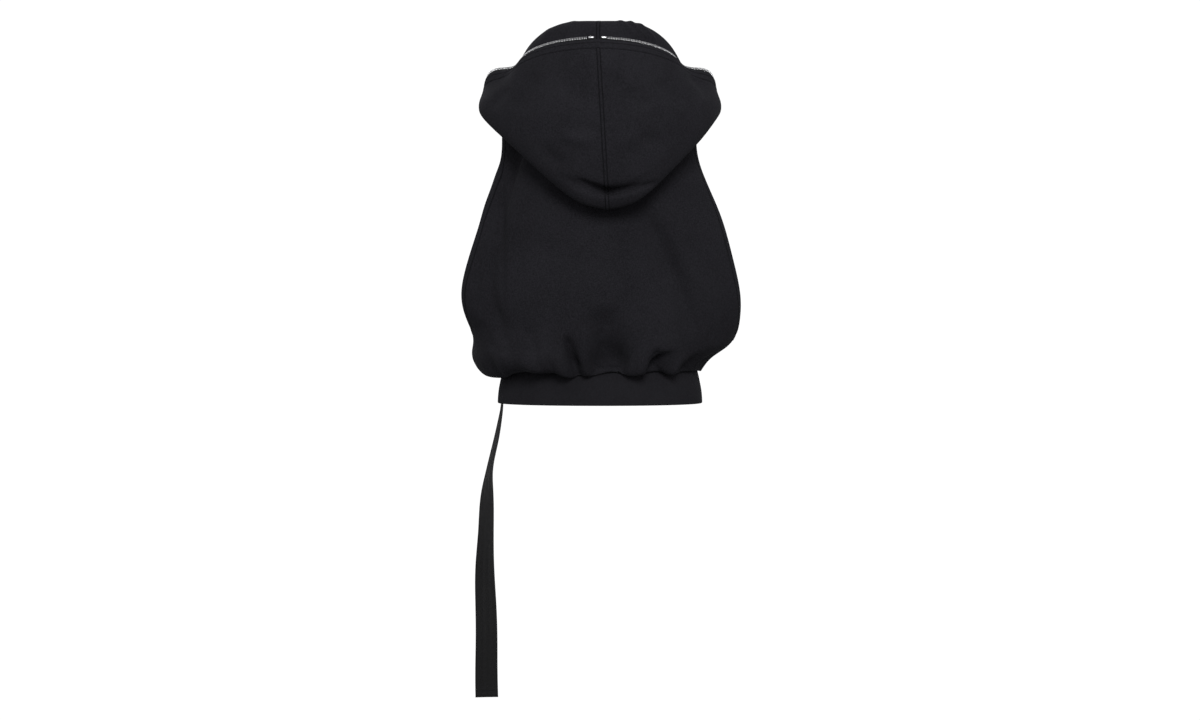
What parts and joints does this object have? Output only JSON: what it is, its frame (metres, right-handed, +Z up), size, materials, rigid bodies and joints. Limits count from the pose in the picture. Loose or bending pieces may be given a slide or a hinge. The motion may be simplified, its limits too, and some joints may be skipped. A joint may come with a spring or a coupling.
{
  "type": "sleeveless zip hoodie",
  "caption": "Sleeveless fleece hoodie on a worn, hollow form: hood down, zip to the throat and on round the hood, bloused body on a rib hem, one strap hanging from the hem.",
  "frame": {"origin": "middle of the neck base, level with the inner ends of the shoulder seams, where the wearer's shoulders hold it", "axes": "+Z up, +Y out of the zipped front, +X towards the wearer's right, so the back faces -Y"},
  "size_m": [0.4821, 0.3442, 1.1752],
  "materials": {
    "fleece": "matt brushed black fleece",
    "rib": "matt black rib knit",
    "zip_tape": "black woven tape",
    "webbing": "black woven webbing with a faint sheen",
    "zip_metal": "polished nickel"
  },
  "bodies": {
    "garment": {"back": "fleece", "front_left": "fleece", "front_right": "fleece", "hood_left": "fleece", "hood_right": "fleece", "hood_band_left": "fleece", "hood_band_right": "fleece", "hem_rib": "rib", "zip_tape_left": "zip_tape", "zip_tape_right": "zip_tape", "zip_teeth_left": "zip_metal", "zip_teeth_right": "zip_metal", "zip_stop_left": "zip_metal", "zip_stop_right": "zip_metal", "zip_box": "zip_metal", "zip_slider": "zip_metal", "strap": "webbing"},
    "pull": {"zip_pull": "zip_metal"}
  },
  "joints": [
    {"name": "pull_hinge", "type": "hinge", "parent": "garment", "child": "pull", "pos_m": [0, 0.11154, -0.12975], "axis": [1, 0, 0], "range_deg": [0, 120]}
  ]
}
